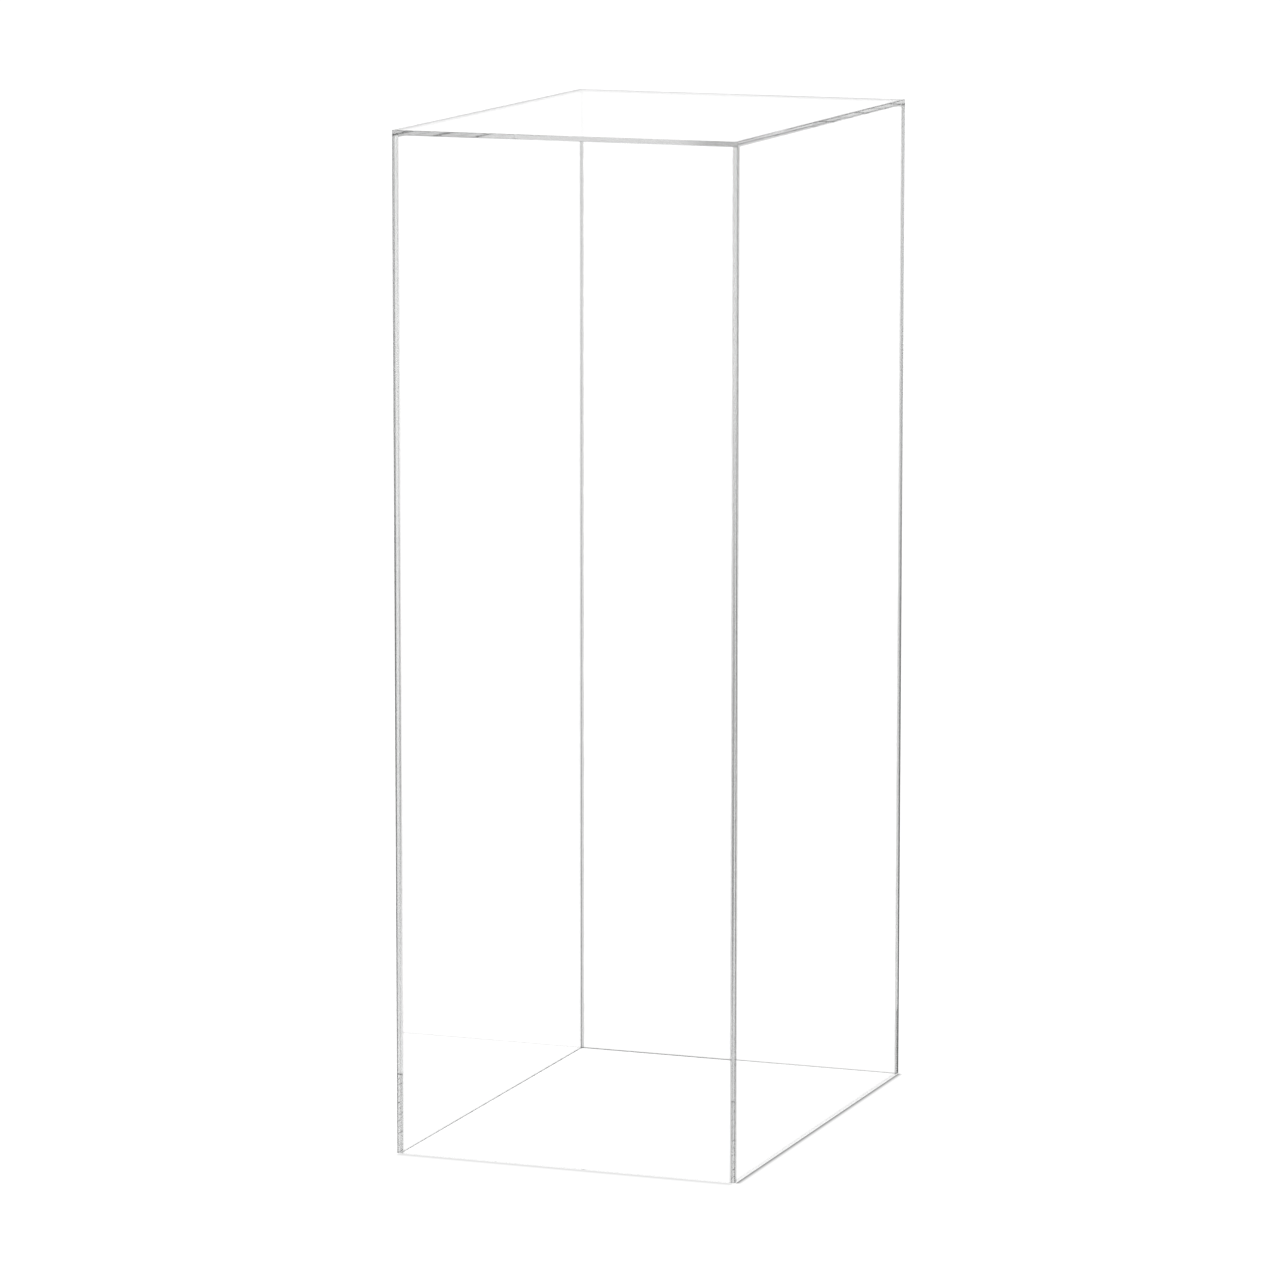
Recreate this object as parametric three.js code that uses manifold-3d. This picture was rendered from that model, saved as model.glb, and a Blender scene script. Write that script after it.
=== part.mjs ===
// Five-sided display plinth in clear cast acrylic sheet.
//
// Construction: four upright wall panels stand in a rectangle and carry one top
// panel that lies over all four top ends. The bottom is open. The front and back
// panels run the full width, and the two side panels are butted between them.
// Every joint is a bonded butt joint: a thin layer of clear cement between one
// panel's cut end and its neighbour's face. The outside corners are then eased
// to a small flat arris, which runs across the cement as well. Nothing is
// screwed, and nothing moves.
//
// Frame: millimetres, +Z up, +X to the right, -Y is the front. The origin is the
// middle of the footprint, on the plane that the plinth stands on.

import * as THREE from 'three';
import { mergeVertices } from 'three/addons/utils/BufferGeometryUtils.js';
import Module from 'manifold-3d';

// ---- driving dimensions (mm) ----
const WIDTH = 350; // outside, along X
const DEPTH = 500; // outside, along Y
const HEIGHT = 1000; // outside, along Z
const SHEET = 5; // thickness of the acrylic sheet
const BOND = 0.25; // thickness of a cured cement layer
const ARRIS = 0.5; // leg of the 45 degree arris on the outside corners

// ---- derived planes ----
const HALF_W = WIDTH / 2;
const HALF_D = DEPTH / 2;
const TOP_UNDER = HEIGHT - SHEET; // underside of the top panel
const WALL_TOP = TOP_UNDER - BOND; // upper ends of the four walls
const INNER_X = HALF_W - SHEET; // inside faces of the side panels
const INNER_Y = HALF_D - SHEET; // inside faces of the front and back panels
const SIDE_END = INNER_Y - BOND; // cut ends of the side panels

// ---- finishes ----
const clearAcrylic = () =>
  new THREE.MeshStandardMaterial({
    color: 0xf4f7f7,
    roughness: 0.03,
    metalness: 0,
    transparent: true,
    opacity: 0.25,
  });
const curedCement = () =>
  new THREE.MeshStandardMaterial({
    color: 0xe6ebea,
    roughness: 0.15,
    metalness: 0,
    transparent: true,
    opacity: 0.45,
  });

const wasm = await Module();
wasm.setup();

function toSolid(geometry) {
  const bare = geometry.clone();
  bare.deleteAttribute('normal');
  bare.deleteAttribute('uv');
  const merged = mergeVertices(bare, 1e-4);
  return new wasm.Manifold(
    new wasm.Mesh({
      numProp: 3,
      vertProperties: new Float32Array(merged.attributes.position.array),
      triVerts: new Uint32Array(merged.index.array),
    }),
  );
}

function toGeometry(solid) {
  const mesh = solid.getMesh();
  const geometry = new THREE.BufferGeometry();
  geometry.setAttribute('position', new THREE.BufferAttribute(new Float32Array(mesh.vertProperties), 3));
  geometry.setIndex(new THREE.BufferAttribute(new Uint32Array(mesh.triVerts), 1));
  const flat = geometry.toNonIndexed();
  flat.computeVertexNormals();
  return flat;
}

// A square prism along one axis, turned 45 degrees and centred on an outside
// corner, so that it takes a 45 degree arris with legs of ARRIS off that corner.
function arrisCutter(axis, at) {
  const reach = 2 * Math.max(WIDTH, DEPTH, HEIGHT);
  const outline = new THREE.Shape([
    new THREE.Vector2(ARRIS, 0),
    new THREE.Vector2(0, ARRIS),
    new THREE.Vector2(-ARRIS, 0),
    new THREE.Vector2(0, -ARRIS),
  ]);
  const prism = new THREE.ExtrudeGeometry(outline, { depth: 2 * reach, bevelEnabled: false });
  prism.translate(0, 0, -reach);
  // The extrusion runs along +Z. Its axes are permuted, so no rounding comes in.
  const p = prism.attributes.position;
  const order = { x: [2, 0, 1], y: [1, 2, 0], z: [0, 1, 2] }[axis];
  for (let i = 0; i < p.count; i += 1) {
    const v = [p.getX(i), p.getY(i), p.getZ(i)];
    p.setXYZ(i, v[order[0]] + at[0], v[order[1]] + at[1], v[order[2]] + at[2]);
  }
  return toSolid(prism);
}

// The outside corners of the finished box: four upright ones, four round the top
// and four round the foot.
const CORNERS = [];
for (const x of [-HALF_W, HALF_W]) {
  for (const y of [-HALF_D, HALF_D]) CORNERS.push(arrisCutter('z', [x, y, 0]));
}
for (const z of [0, HEIGHT]) {
  for (const y of [-HALF_D, HALF_D]) CORNERS.push(arrisCutter('x', [0, y, z]));
  for (const x of [-HALF_W, HALF_W]) CORNERS.push(arrisCutter('y', [x, 0, z]));
}

// A flat sheet or layer between two opposite corners, with the box's outside
// corners eased where they run through it.
function slab(name, low, high, material) {
  const size = high.map((v, i) => v - low[i]);
  const blank = new THREE.BoxGeometry(...size);
  blank.translate(...low.map((v, i) => (v + high[i]) / 2));
  let solid = toSolid(blank);
  for (const cutter of CORNERS) solid = solid.subtract(cutter);
  const mesh = new THREE.Mesh(toGeometry(solid), material);
  mesh.name = name;
  return mesh;
}

// ---- panels: sawn, edge-polished sheet ----
function panels() {
  const group = new THREE.Group();
  group.add(
    slab('top_panel', [-HALF_W, -HALF_D, TOP_UNDER], [HALF_W, HALF_D, HEIGHT], clearAcrylic()),
    slab('front_panel', [-HALF_W, -HALF_D, 0], [HALF_W, -INNER_Y, WALL_TOP], clearAcrylic()),
    slab('back_panel', [-HALF_W, INNER_Y, 0], [HALF_W, HALF_D, WALL_TOP], clearAcrylic()),
    slab('left_panel', [-HALF_W, -SIDE_END, 0], [-INNER_X, SIDE_END, WALL_TOP], clearAcrylic()),
    slab('right_panel', [INNER_X, -SIDE_END, 0], [HALF_W, SIDE_END, WALL_TOP], clearAcrylic()),
  );
  return group;
}

// ---- cement layers under the top panel, one on each wall's top end ----
function topBonds() {
  const group = new THREE.Group();
  group.add(
    slab('top_bond_front', [-HALF_W, -HALF_D, WALL_TOP], [HALF_W, -INNER_Y, TOP_UNDER], curedCement()),
    slab('top_bond_back', [-HALF_W, INNER_Y, WALL_TOP], [HALF_W, HALF_D, TOP_UNDER], curedCement()),
    slab('top_bond_left', [-HALF_W, -SIDE_END, WALL_TOP], [-INNER_X, SIDE_END, TOP_UNDER], curedCement()),
    slab('top_bond_right', [INNER_X, -SIDE_END, WALL_TOP], [HALF_W, SIDE_END, TOP_UNDER], curedCement()),
  );
  return group;
}

// ---- cement layers in the four upright corners, on the side panels' cut ends.
// Each runs on past the wall ends to the top panel, so the corner is filled. ----
function cornerBonds() {
  const group = new THREE.Group();
  for (const [side, x0, x1] of [['left', -HALF_W, -INNER_X], ['right', INNER_X, HALF_W]]) {
    group.add(
      slab(`corner_bond_front_${side}`, [x0, -INNER_Y, 0], [x1, -SIDE_END, TOP_UNDER], curedCement()),
      slab(`corner_bond_back_${side}`, [x0, SIDE_END, 0], [x1, INNER_Y, TOP_UNDER], curedCement()),
    );
  }
  return group;
}

const plinth = new THREE.Group();
plinth.name = 'display_plinth';
plinth.add(panels(), topBonds(), cornerBonds());

export default plinth;
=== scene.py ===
"""Looks for the clear acrylic display plinth: five bonded sheets of clear cast acrylic in a white studio."""
import math

import bpy
from mathutils import Matrix, Vector


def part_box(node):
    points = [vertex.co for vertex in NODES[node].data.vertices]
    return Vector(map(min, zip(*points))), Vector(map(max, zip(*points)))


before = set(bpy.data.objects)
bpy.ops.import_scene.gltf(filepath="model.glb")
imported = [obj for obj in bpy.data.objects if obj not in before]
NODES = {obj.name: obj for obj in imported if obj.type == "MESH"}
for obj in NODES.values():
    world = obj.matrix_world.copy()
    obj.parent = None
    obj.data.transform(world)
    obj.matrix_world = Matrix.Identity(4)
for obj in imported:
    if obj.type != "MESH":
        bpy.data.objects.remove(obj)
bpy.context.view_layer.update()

# ---- numbers of the part, in metres, from the frame ----
lo_t, hi_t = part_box("top_panel")
lo_f, hi_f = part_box("front_panel")
lo_r, hi_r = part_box("right_panel")
lo_c, hi_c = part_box("corner_bond_front_right")
HALF_W, HALF_D, HEIGHT = hi_t.x, hi_t.y, hi_t.z
SHEET = hi_t.z - lo_t.z
INNER_X = lo_r.x                 # inside face of the side panels
INNER_Y = -hi_f.y                # inside face of the front and back panels
WALL_TOP, TOP_UNDER = hi_f.z, lo_t.z
SIDE_END = hi_r.y
BOND_Z = (WALL_TOP + TOP_UNDER) / 2
BOND_Y = (INNER_Y + SIDE_END) / 2
BOND_HALF = (TOP_UNDER - WALL_TOP) / 2 + 0.00004

IOR = 1.49                       # cast acrylic
ABSORB = (0.46, 0.45, 0.455)      # per metre of path inside the sheet, red, green, blue
FILM = 0.966                     # what one face of a cement layer lets through
ABSORB_TOP = (0.25, 0.245, 0.247)
SEAT = 0.980                     # what a cemented face of a sheet lets through
# painted shade on a wall's narrow faces at the foot and at the top, for the light the sheet carries in from the studio:
# the back's is darkest at the foot
EDGE_SHADE = {"front_panel": (0.80, 0.64), "back_panel": (0.40, 0.72), "left_panel": (0.78, 0.78), "right_panel": (0.78, 0.78)}
# painted shade on the top's narrow faces, for the light the sheet carries in from the studio: left and back ones even,
# right one from front to back, front one at its left end, middle and right end
TOP_LEFT, TOP_BACK = 0.98, 0.90
TOP_RIGHT = (0.74, 0.94)
TOP_FRONT = (0.68, 0.79, 0.56)
# the cement film on the left and the right corner joints, lighter or darker at the foot and at the top
JOINT_TONE_LEFT = (1.000, 1.030)
JOINT_TONE_RIGHT = (0.970, 0.990)

# the hair of cement that creeps out of a corner joint onto the inside faces: what it lets through at
# each corner, named by the side of the plinth, and how wide it is on the broad and on the butted sheet
CREEP = {("front", "left"): 0.86, ("front", "right"): 0.64, ("back", "left"): 0.60, ("back", "right"): 0.66}
CREEP_WIDE = 0.0016
CREEP_BUTT = 0.0011
# the same hair under the top, at the head of the wall's inside face, where it shows
CREEP_HEAD = {"back": 0.50, "left": 0.55}
CREEP_DROP = 0.0020

# ---- node helpers ----
class Tree:
    """Small helper for building a node tree."""

    def __init__(self, tree):
        self.t = tree
        self.x = 0

    def node(self, kind, **props):
        n = self.t.nodes.new(kind)
        n.location = (self.x, 0)
        self.x += 60
        for k, v in props.items():
            setattr(n, k, v)
        return n

    def link(self, a, b):
        self.t.links.new(a, b)

    def put(self, socket, value):
        if isinstance(value, bpy.types.NodeSocket):
            self.link(value, socket)
        else:
            socket.default_value = value

    def math(self, op, a, b=None, c=None, clamp=False):
        n = self.node("ShaderNodeMath", operation=op, use_clamp=clamp)
        self.put(n.inputs[0], a)
        if b is not None:
            self.put(n.inputs[1], b)
        if c is not None:
            self.put(n.inputs[2], c)
        return n.outputs[0]

    def vmath(self, op, a, b=None):
        n = self.node("ShaderNodeVectorMath", operation=op)
        self.put(n.inputs[0], a)
        if b is not None:
            self.put(n.inputs[1], b)
        return n.outputs["Value"] if op in ("DOT_PRODUCT", "LENGTH", "DISTANCE") else n.outputs[0]

    def near(self, value, target, within):
        """1 where value is within a distance of target."""
        return self.math("COMPARE", value, target, within)


def noise(t, vec, scale, detail=2.0, rough=0.5, w=None):
    n = t.node("ShaderNodeTexNoise", noise_dimensions="4D" if w is not None else "3D")
    t.link(vec, n.inputs["Vector"])
    n.inputs["Scale"].default_value = scale
    n.inputs["Detail"].default_value = detail
    n.inputs["Roughness"].default_value = rough
    if w is not None:
        n.inputs["W"].default_value = w
    return n.outputs[0]


def ramp(t, value, lo, hi, a=0.0, b=1.0):
    """Smooth step of value from lo to hi, going from a to b."""
    n = t.node("ShaderNodeMapRange", interpolation_type="SMOOTHSTEP")
    t.link(value, n.inputs["Value"])
    n.inputs["From Min"].default_value = lo
    n.inputs["From Max"].default_value = hi
    n.inputs["To Min"].default_value = a
    n.inputs["To Max"].default_value = b
    return n.outputs[0]


def mapped(t, vec, rot=(0, 0, 0), scale=(1, 1, 1), shift=(0, 0, 0)):
    n = t.node("ShaderNodeMapping")
    t.link(vec, n.inputs["Vector"])
    n.inputs["Location"].default_value = shift
    n.inputs["Rotation"].default_value = rot
    n.inputs["Scale"].default_value = scale
    return n.outputs[0]


def hairlines(t, plane, turn, seed, lo=0.70, hi=0.76):
    """Hairline scratches in a sheet's own plane: noise drawn out thin and long along one direction."""
    turned = mapped(t, plane, rot=(0, 0, turn))
    return ramp(t, noise(t, mapped(t, turned, scale=(9.0, 1900.0, 1.0), shift=(seed, seed * 0.7, seed * 1.3)), 1.0, 0.0), lo, hi)


def acrylic(name, broad, seed, edge_shade=None, creep=None, spread=(1.0, 1.0), head=None, absorb=ABSORB):
    """Clear cast acrylic sheet. broad is the axis that its two big faces look along, edge_shade the painted shade on
    its narrow faces at the foot and at the top, creep what the cement line lets through at the low and at the high end
    of its inside face, spread how far it runs out there, head what the cement line under the top lets through."""
    mat = bpy.data.materials.new(name)
    mat.use_nodes = True
    t = Tree(mat.node_tree)
    mat.node_tree.nodes.clear()
    out = t.node("ShaderNodeOutputMaterial")
    coord = t.node("ShaderNodeTexCoord")
    geo = t.node("ShaderNodeNewGeometry")
    path = t.node("ShaderNodeLightPath")
    place = coord.outputs["Object"]
    p = t.node("ShaderNodeSeparateXYZ")
    t.link(place, p.inputs[0])
    n = t.node("ShaderNodeSeparateXYZ")
    t.link(geo.outputs["True Normal"], n.inputs[0])
    ax = t.math("ABSOLUTE", p.outputs[0])
    ay = t.math("ABSOLUTE", p.outputs[1])
    nx = t.math("ABSOLUTE", n.outputs[0])
    ny = t.math("ABSOLUTE", n.outputs[1])
    nz = t.math("ABSOLUTE", n.outputs[2])
    # where a face is cemented to its neighbour, light goes straight on
    in_rim = t.math("MAXIMUM", t.math("GREATER_THAN", ax, INNER_X - 1e-5), t.math("GREATER_THAN", ay, INNER_Y - 1e-5))
    top_joint = t.math("MULTIPLY", t.math("MULTIPLY", t.near(p.outputs[2], BOND_Z, BOND_HALF), t.math("GREATER_THAN", nz, 0.9)), in_rim)
    corner_joint = t.math("MULTIPLY", t.math("MULTIPLY", t.near(ay, BOND_Y, BOND_HALF), t.math("GREATER_THAN", ny, 0.9)), t.math("GREATER_THAN", ax, INNER_X - 1e-5))
    joint = t.math("MAXIMUM", top_joint, corner_joint)
    edge = t.math("LESS_THAN", {"X": nx, "Y": ny, "Z": nz}[broad], 0.9)

    # flame- and buff-polished narrow faces: fine lines run along the edge, with soft uneven patches
    lines = noise(t, mapped(t, place, scale=(2600.0, 2600.0, 14.0) if broad != "Z" else (14.0, 14.0, 2600.0)), 1.0, 0.0)
    patches = noise(t, mapped(t, place, shift=(seed, 0.0, -seed)), 21.0, 1.0, 0.55)
    # painted shade: the narrow faces are painted lighter or darker along each edge, for the light the sheet carries in
    # from the studio; the top's by X and Y, a wall's from the foot to the top
    if broad == "Z":
        face_front = t.math("ADD", t.math("ADD", ramp(t, p.outputs[0], -0.100, -0.080, TOP_FRONT[0], TOP_FRONT[1]), -TOP_FRONT[1]),
                            ramp(t, p.outputs[0], 0.110, 0.150, TOP_FRONT[1], TOP_FRONT[2]))
        face_right = ramp(t, p.outputs[1], -0.08, 0.12, *TOP_RIGHT)
        sides = t.node("ShaderNodeMix", data_type="FLOAT")
        t.link(t.math("GREATER_THAN", p.outputs[0], 0.0), sides.inputs[0])
        sides.inputs[2].default_value = TOP_LEFT
        t.link(face_right, sides.inputs[3])
        ends = t.node("ShaderNodeMix", data_type="FLOAT")
        t.link(t.math("GREATER_THAN", p.outputs[1], 0.0), ends.inputs[0])
        t.link(face_front, ends.inputs[2])
        ends.inputs[3].default_value = TOP_BACK
        chosen = t.node("ShaderNodeMix", data_type="FLOAT")
        t.link(t.math("GREATER_THAN", ay, HALF_D - 0.0006), chosen.inputs[0])
        t.link(sides.outputs[0], chosen.inputs[2])
        t.link(ends.outputs[0], chosen.inputs[3])
        painted_edge_shade = chosen.outputs[0]
    else:
        painted_edge_shade = ramp(t, p.outputs[2], 0.05, 0.95, *edge_shade)
    # edge tone: the painted shade plus the polish lines and patches
    edge_tone = t.math("ADD", t.math("ADD", painted_edge_shade, -0.03), t.math("MULTIPLY", t.math("ADD", t.math("MULTIPLY", lines, 0.35), t.math("MULTIPLY", patches, 0.65)), 0.06))

    # handling marks on the big faces: a few hairlines and specks of dust, hardly seen
    plane = t.node("ShaderNodeCombineXYZ")
    u, v = {"X": (1, 2), "Y": (0, 2), "Z": (0, 1)}[broad]
    t.link(p.outputs[u], plane.inputs[0])
    t.link(p.outputs[v], plane.inputs[1])
    marks = t.math("ADD", hairlines(t, plane.outputs[0], 0.55 + 0.2 * seed, seed), hairlines(t, plane.outputs[0], 2.1 + 0.3 * seed, seed + 4.0))
    marks = t.math("MULTIPLY", marks, ramp(t, noise(t, mapped(t, place, shift=(-seed, seed, 0.0)), 7.0, 0.0), 0.54, 0.66))
    cells = t.node("ShaderNodeTexVoronoi", feature="F1", distance="EUCLIDEAN")
    t.link(mapped(t, place, shift=(seed, seed, seed)), cells.inputs["Vector"])
    cells.inputs["Scale"].default_value = 170.0
    tint = t.node("ShaderNodeSeparateColor")
    t.link(cells.outputs["Color"], tint.inputs[0])
    specks = t.math("MULTIPLY", ramp(t, cells.outputs["Distance"], 0.035, 0.05, 1.0, 0.0), t.math("GREATER_THAN", tint.outputs[0], 0.965))
    face_tone = t.math("SUBTRACT", 1.0, t.math("ADD", t.math("MULTIPLY", marks, 0.04), t.math("MULTIPLY", specks, 0.16)))
    if creep:
        along, across, end, width = (p.outputs[0], ay, INNER_X, CREEP_WIDE) if broad == "Y" else (p.outputs[1], ax, SIDE_END, CREEP_BUTT)
        inside_face = t.near(across, INNER_Y if broad == "Y" else INNER_X, 2e-5)
        wander = noise(t, mapped(t, place, scale=(0.0, 0.0, 1.0), shift=(seed, seed, 0.0)), 34.0, 2.0, 0.6)
        high = t.math("GREATER_THAN", along, 0.0)
        runs = t.math("ADD", spread[0], t.math("MULTIPLY", high, spread[1] - spread[0]))
        reach = t.math("MULTIPLY", t.math("MULTIPLY", t.math("ADD", 0.55, t.math("MULTIPLY", wander, 0.9)), width), runs)
        depth_in = t.math("SUBTRACT", end, t.math("ABSOLUTE", along))
        strip = t.math("MULTIPLY", t.math("SUBTRACT", 1.0, ramp(t, t.math("DIVIDE", depth_in, reach), 0.75, 1.05)), inside_face)
        lost = t.math("ADD", 1.0 - creep[0], t.math("MULTIPLY", high, creep[0] - creep[1]))
        face_tone = t.math("MULTIPLY", face_tone, t.math("SUBTRACT", 1.0, t.math("MULTIPLY", strip, lost)))
        if head is not None:
            wander = noise(t, mapped(t, place, scale=(1.0, 1.0, 0.0), shift=(-seed, seed, 0.0)), 30.0, 2.0, 0.6)
            drop = t.math("MULTIPLY", t.math("ADD", 0.6, t.math("MULTIPLY", wander, 0.8)), CREEP_DROP)
            strip = ramp(t, t.math("DIVIDE", t.math("SUBTRACT", WALL_TOP, p.outputs[2]), drop), 0.75, 1.05, 1.0, 0.0)
            face_tone = t.math("MULTIPLY", face_tone, t.math("SUBTRACT", 1.0, t.math("MULTIPLY", t.math("MULTIPLY", strip, inside_face), 1.0 - head)))
    mixed = t.node("ShaderNodeMix", data_type="FLOAT")
    t.link(edge, mixed.inputs[0])
    t.link(face_tone, mixed.inputs[2])
    t.link(edge_tone, mixed.inputs[3])
    # painted contact shade at the foot: the foot faces where the walls stand on the floor are painted darker, slightly
    # on the side panels and more on the front and back panels
    foot = t.math("MULTIPLY", t.math("LESS_THAN", p.outputs[2], 1e-4), t.math("GREATER_THAN", nz, 0.9))
    foot_shaded = t.node("ShaderNodeMix", data_type="FLOAT")
    t.link(foot, foot_shaded.inputs[0])
    t.link(mixed.outputs[0], foot_shaded.inputs[2])
    foot_shaded.inputs[3].default_value = 0.98 if broad == "X" else 0.90
    tone = foot_shaded.outputs[0]

    # Beer-Lambert absorption over the last stretch inside the sheet
    inside = t.math("MULTIPLY", path.outputs["Ray Length"], geo.outputs["Backfacing"])
    inside = t.math("MINIMUM", inside, 2.0)
    comb = t.node("ShaderNodeCombineColor")
    for i, k in enumerate(absorb):
        t.link(t.math("MULTIPLY", t.math("EXPONENT", t.math("MULTIPLY", inside, -k)), tone), comb.inputs[i])
    bump = t.node("ShaderNodeBump")
    bump.inputs["Strength"].default_value = 0.12
    bump.inputs["Distance"].default_value = 0.000004
    t.link(t.math("MULTIPLY", lines, edge), bump.inputs["Height"])
    glass = t.node("ShaderNodeBsdfGlass")
    glass.inputs["IOR"].default_value = IOR
    glass.inputs["Roughness"].default_value = 0.0
    t.link(comb.outputs[0], glass.inputs["Color"])
    t.link(bump.outputs[0], glass.inputs["Normal"])
    clear = t.node("ShaderNodeBsdfTransparent")
    clear.inputs["Color"].default_value = (SEAT, SEAT, SEAT, 1)
    mix = t.node("ShaderNodeMixShader")
    t.link(joint, mix.inputs[0])
    t.link(glass.outputs[0], mix.inputs[1])
    t.link(clear.outputs[0], mix.inputs[2])
    t.link(mix.outputs[0], out.inputs["Surface"])
    return mat


def cement(name, absorb=ABSORB):
    """The hair-thin layer of set solvent cement in each joint, with uneven wetting and pin-head bubbles."""
    mat = bpy.data.materials.new(name)
    mat.use_nodes = True
    t = Tree(mat.node_tree)
    mat.node_tree.nodes.clear()
    out = t.node("ShaderNodeOutputMaterial")
    coord = t.node("ShaderNodeTexCoord")
    geo = t.node("ShaderNodeNewGeometry")
    path = t.node("ShaderNodeLightPath")
    place = coord.outputs["Object"]
    p = t.node("ShaderNodeSeparateXYZ")
    t.link(place, p.inputs[0])
    n = t.node("ShaderNodeSeparateXYZ")
    t.link(geo.outputs["True Normal"], n.inputs[0])
    ay = t.math("ABSOLUTE", p.outputs[1])
    flat_top = t.math("MULTIPLY", t.near(p.outputs[2], BOND_Z, BOND_HALF), t.math("GREATER_THAN", t.math("ABSOLUTE", n.outputs[2]), 0.9))
    flat_side = t.math("MULTIPLY", t.math("MULTIPLY", t.near(ay, BOND_Y, BOND_HALF), t.math("GREATER_THAN", t.math("ABSOLUTE", n.outputs[1]), 0.9)),
                       t.math("LESS_THAN", p.outputs[2], WALL_TOP + 1e-5))
    flat = t.math("MAXIMUM", flat_top, flat_side)
    wet = noise(t, place, 16.0, 1.0, 0.6)
    cells = t.node("ShaderNodeTexVoronoi", feature="F1", distance="EUCLIDEAN")
    t.link(place, cells.inputs["Vector"])
    cells.inputs["Scale"].default_value = 420.0
    tint = t.node("ShaderNodeSeparateColor")
    t.link(cells.outputs["Color"], tint.inputs[0])
    bubble = t.math("MULTIPLY", ramp(t, cells.outputs["Distance"], 0.07, 0.12, 1.0, 0.0), t.math("GREATER_THAN", tint.outputs[0], 0.985))
    film = t.math("SUBTRACT", t.math("ADD", FILM - 0.012, t.math("MULTIPLY", wet, 0.024)), t.math("MULTIPLY", bubble, 0.12))
    # the film on the left and the right corner joints runs lighter or darker from the foot to the top
    joint_tone = t.node("ShaderNodeMix", data_type="FLOAT")
    t.link(t.math("GREATER_THAN", p.outputs[0], 0.0), joint_tone.inputs[0])
    t.link(ramp(t, p.outputs[2], 0.05, 0.90, *JOINT_TONE_LEFT), joint_tone.inputs[2])
    t.link(ramp(t, p.outputs[2], 0.05, 0.90, *JOINT_TONE_RIGHT), joint_tone.inputs[3])
    film = t.math("MULTIPLY", film, joint_tone.outputs[0])
    inside = t.math("MINIMUM", t.math("MULTIPLY", path.outputs["Ray Length"], geo.outputs["Backfacing"]), 2.0)
    glass_col = t.node("ShaderNodeCombineColor")
    clear_col = t.node("ShaderNodeCombineColor")
    for i, k in enumerate(absorb):
        t.link(t.math("MULTIPLY", t.math("EXPONENT", t.math("MULTIPLY", inside, -k)), t.math("MULTIPLY", film, 0.9)), glass_col.inputs[i])
        t.link(film, clear_col.inputs[i])
    glass = t.node("ShaderNodeBsdfGlass")
    glass.inputs["IOR"].default_value = IOR
    glass.inputs["Roughness"].default_value = 0.0
    t.link(glass_col.outputs[0], glass.inputs["Color"])
    clear = t.node("ShaderNodeBsdfTransparent")
    t.link(clear_col.outputs[0], clear.inputs["Color"])
    mix = t.node("ShaderNodeMixShader")
    t.link(flat, mix.inputs[0])
    t.link(glass.outputs[0], mix.inputs[1])
    t.link(clear.outputs[0], mix.inputs[2])
    t.link(mix.outputs[0], out.inputs["Surface"])
    return mat


FINISH = {
    "top_panel": acrylic("clear_acrylic_top", "Z", 1.3, absorb=ABSORB_TOP),
    "front_panel": acrylic("clear_acrylic_front", "Y", 2.9, EDGE_SHADE["front_panel"], (CREEP["front", "left"], CREEP["front", "right"])),
    "back_panel": acrylic("clear_acrylic_back", "Y", 5.1, EDGE_SHADE["back_panel"], (CREEP["back", "left"], CREEP["back", "right"]), (1.6, 1.0), CREEP_HEAD["back"]),
    "left_panel": acrylic("clear_acrylic_left", "X", 7.7, EDGE_SHADE["left_panel"], (CREEP["front", "left"], CREEP["back", "left"]), (1.0, 1.6), CREEP_HEAD["left"]),
    "right_panel": acrylic("clear_acrylic_right", "X", 9.2, EDGE_SHADE["right_panel"], (CREEP["front", "right"], CREEP["back", "right"])),
}
M_CEMENT = cement("cement_joint")
for name, ob in NODES.items():
    ob.data.materials.clear()
    ob.data.materials.append(FINISH.get(name, M_CEMENT))
    ob.visible_shadow = False
    ob.visible_diffuse = False

# ---- studio: pale floor, white surroundings with two softly darker sides ----
# The sheets carry light from end to end, so their edges show what lies to the
# sides of the studio. Those sides are a little darker than the backdrop, and the
# darker cards count only for light that has been carried along inside a sheet, so
# the floor and backdrop stay one even white however they are looked at.
BACKDROP = 1.10
DIM_SKY = 0.26
DIM_BACK = 0.66                  # floor behind the plinth, to its two sides
DIM_FRONT = 0.45                 # floor in front of it


def carried(t):
    """1 for light that was turned back several times inside a sheet, 0 for light seen plainly or through a pane."""
    path = t.node("ShaderNodeLightPath")
    n = t.node("ShaderNodeMapRange")
    t.link(path.outputs["Glossy Depth"], n.inputs["Value"])
    n.inputs["From Min"].default_value = 1.5
    n.inputs["From Max"].default_value = 3.5
    return n.outputs[0]


def side_dim(t, x, y, depth, reach=None):
    """1 in front, behind and beside, and lower on the two diagonals where x and y have one sign."""
    xy = t.math("MULTIPLY", t.math("MULTIPLY", x, y), 2.0)
    rr = t.math("ADD", t.math("ADD", t.math("MULTIPLY", x, x), t.math("MULTIPLY", y, y)), 1e-6)
    s = t.math("MAXIMUM", t.math("DIVIDE", xy, rr), 0.0)
    s = t.math("POWER", s, 0.6)
    s = t.math("MULTIPLY", s, carried(t))
    if reach is not None:
        s = t.math("MULTIPLY", s, reach)
    return t.math("SUBTRACT", 1.0, t.math("MULTIPLY", s, depth))


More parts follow.
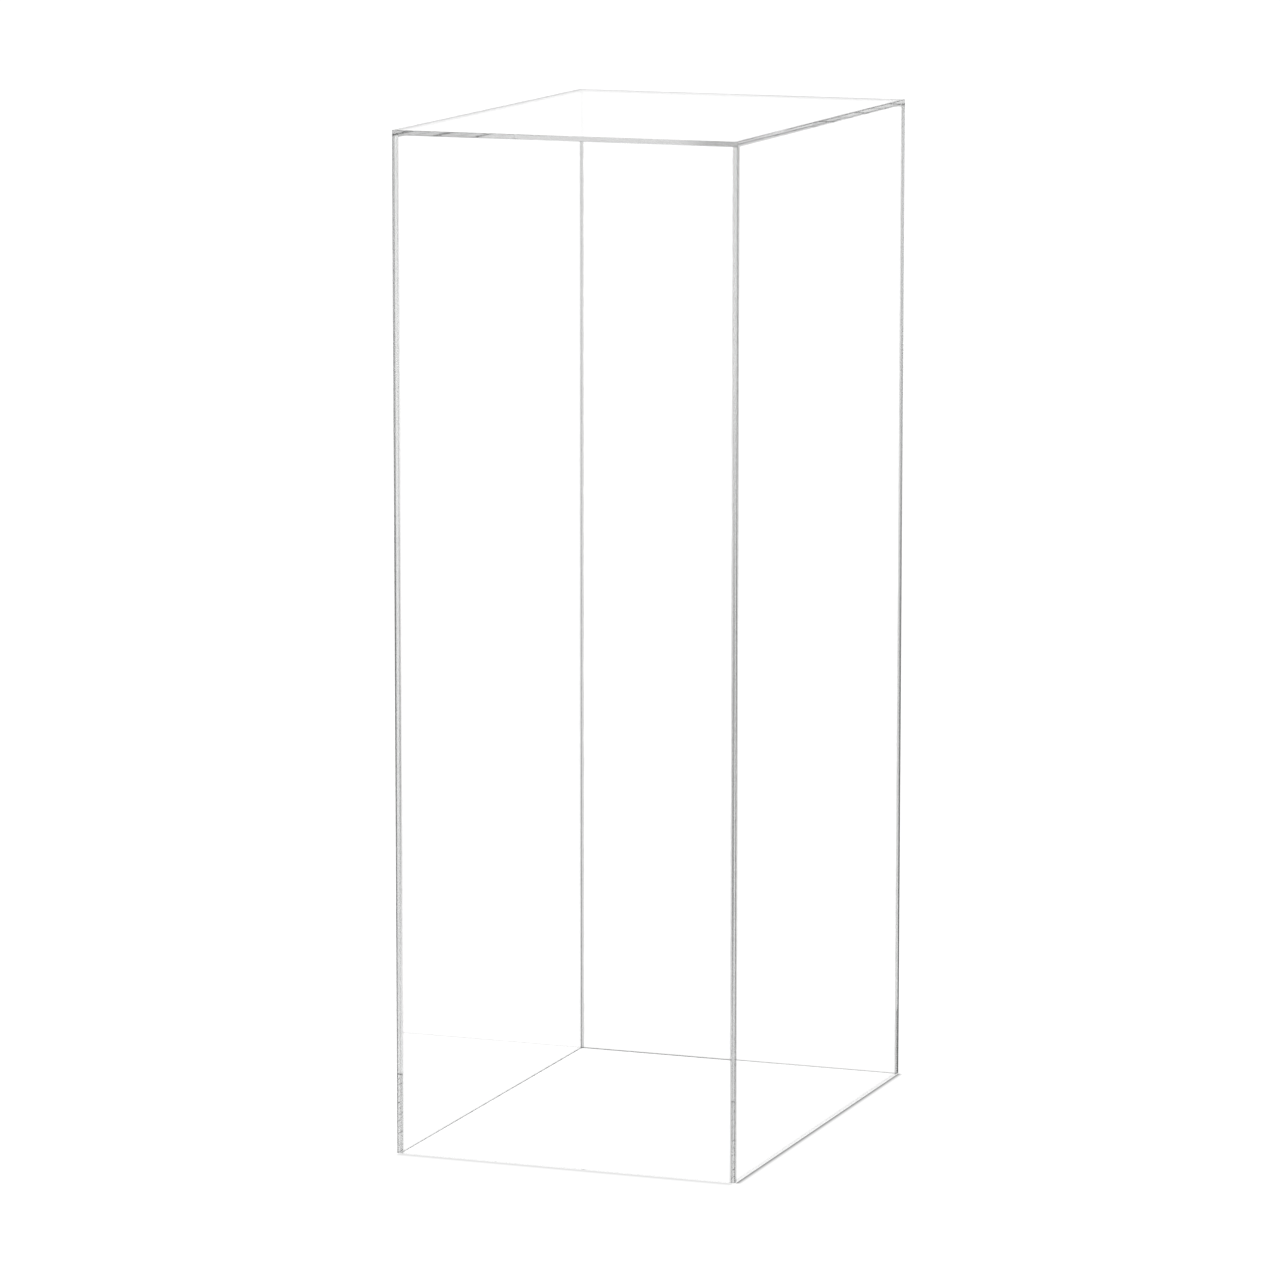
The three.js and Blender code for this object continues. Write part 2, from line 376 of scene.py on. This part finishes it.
floor_mesh = bpy.data.meshes.new("floor")
S = 60.0
FLOOR_Z = -0.0002
floor_mesh.from_pydata([(-S, -S, FLOOR_Z), (S, -S, FLOOR_Z), (S, S, FLOOR_Z), (-S, S, FLOOR_Z)], [], [(0, 1, 2, 3)])
floor = bpy.data.objects.new("floor", floor_mesh)
bpy.context.scene.collection.objects.link(floor)
fm = bpy.data.materials.new("pale_floor")
fm.use_nodes = True
t = Tree(fm.node_tree)
fm.node_tree.nodes.clear()
out = t.node("ShaderNodeOutputMaterial")
d = t.node("ShaderNodeEmission")
co = t.node("ShaderNodeTexCoord")
sep = t.node("ShaderNodeSeparateXYZ")
t.link(co.outputs["Object"], sep.inputs[0])
X, Y = sep.outputs[0], sep.outputs[1]
near = t.node("ShaderNodeMapRange", interpolation_type="SMOOTHSTEP")
off = t.math("ABSOLUTE", t.math("ADD", t.math("MULTIPLY", X, math.cos(math.radians(16))), t.math("MULTIPLY", Y, math.sin(math.radians(16)))))
t.link(off, near.inputs["Value"])
near.inputs["From Min"].default_value = 0.05
near.inputs["From Max"].default_value = 0.90
far = t.node("ShaderNodeMapRange", interpolation_type="SMOOTHSTEP")
t.link(t.math("SQRT", t.math("ADD", t.math("MULTIPLY", X, X), t.math("MULTIPLY", Y, Y))), far.inputs["Value"])
far.inputs["From Min"].default_value = 1.5
far.inputs["From Max"].default_value = 6.5
far.inputs["To Min"].default_value = 1.0
far.inputs["To Max"].default_value = 0.0
behind = t.math("GREATER_THAN", Y, 0.0)
depth = t.math("ADD", DIM_FRONT, t.math("MULTIPLY", behind, DIM_BACK - DIM_FRONT))
shade = side_dim(t, X, Y, depth, t.math("MULTIPLY", near.outputs[0], far.outputs[0]))
# a thin soft contact shadow where the walls stand on the floor, deepest on the right


def contact(t, outward, along, limit, width, strength):
    """Shadow strip outside one wall: outward is the distance from its outer face."""
    fall = t.math("EXPONENT", t.math("MULTIPLY", t.math("MULTIPLY", outward, outward), -1.0 / width ** 2))
    fall = t.math("MULTIPLY", fall, t.math("GREATER_THAN", outward, 0.0))
    ends = t.node("ShaderNodeMapRange", interpolation_type="SMOOTHSTEP")
    t.link(t.math("ABSOLUTE", along), ends.inputs["Value"])
    ends.inputs["From Min"].default_value = limit - 0.004
    ends.inputs["From Max"].default_value = limit + 0.001
    ends.inputs["To Min"].default_value = 1.0
    ends.inputs["To Max"].default_value = 0.0
    return t.math("MULTIPLY", t.math("MULTIPLY", fall, ends.outputs[0]), strength)


dark = contact(t, t.math("SUBTRACT", X, HALF_W), Y, HALF_D, 0.0042, 0.74)
dark = t.math("ADD", dark, contact(t, t.math("SUBTRACT", t.math("MULTIPLY", X, -1.0), HALF_W), Y, HALF_D, 0.004, 0.20))
dark = t.math("ADD", dark, contact(t, t.math("SUBTRACT", t.math("MULTIPLY", Y, -1.0), HALF_D), X, HALF_W, 0.0085, 0.32))
dark = t.math("ADD", dark, contact(t, t.math("SUBTRACT", Y, HALF_D), X, HALF_W, 0.006, 0.27))
shade = t.math("MULTIPLY", shade, t.math("SUBTRACT", 1.0, dark))
d.inputs["Color"].default_value = (1, 1, 1, 1)
t.link(t.math("MULTIPLY", shade, BACKDROP), d.inputs["Strength"])
t.link(d.outputs[0], out.inputs["Surface"])
floor_mesh.materials.append(fm)

world = bpy.data.worlds.new("studio")
bpy.context.scene.world = world
world.use_nodes = True
t = Tree(world.node_tree)
world.node_tree.nodes.clear()
out = t.node("ShaderNodeOutputWorld")
bg = t.node("ShaderNodeBackground")
bg.inputs["Color"].default_value = (1, 1, 1, 1)
co = t.node("ShaderNodeTexCoord")
sep = t.node("ShaderNodeSeparateXYZ")
t.link(co.outputs["Generated"], sep.inputs[0])
shade = side_dim(t, sep.outputs[0], sep.outputs[1], DIM_SKY)
t.link(t.math("MULTIPLY", shade, BACKDROP), bg.inputs["Strength"])
t.link(bg.outputs[0], out.inputs["Surface"])

# ---- camera ----
cam_data = bpy.data.cameras.new("camera")
cam = bpy.data.objects.new("camera", cam_data)
bpy.context.scene.collection.objects.link(cam)
bpy.context.scene.camera = cam
YAW, PITCH, ROLL = math.radians(20.405), math.radians(9.408), math.radians(0.036)
cam.location = (2.30197, -6.22941, 1.57951)
fwd = Vector((-math.sin(YAW) * math.cos(PITCH), math.cos(YAW) * math.cos(PITCH), -math.sin(PITCH)))
right = Vector((math.cos(YAW), math.sin(YAW), 0.0))
up = right.cross(fwd)
r2 = right * math.cos(ROLL) + up * math.sin(ROLL)
u2 = -right * math.sin(ROLL) + up * math.cos(ROLL)
rot = Matrix((r2, u2, -fwd)).transposed()
cam.rotation_mode = "QUATERNION"
cam.rotation_quaternion = rot.to_quaternion()
cam_data.sensor_width = 36.0
cam_data.lens = 6800.5 / 1280 * 36.0
cam_data.clip_start = 0.1
cam_data.clip_end = 200.0

scene = bpy.context.scene
scene.view_settings.view_transform = "Standard"
scene.view_settings.look = "None"
scene.cycles.max_bounces = 128
scene.cycles.transmission_bounces = 128
scene.cycles.glossy_bounces = 128
scene.cycles.transparent_max_bounces = 96
scene.cycles.diffuse_bounces = 3
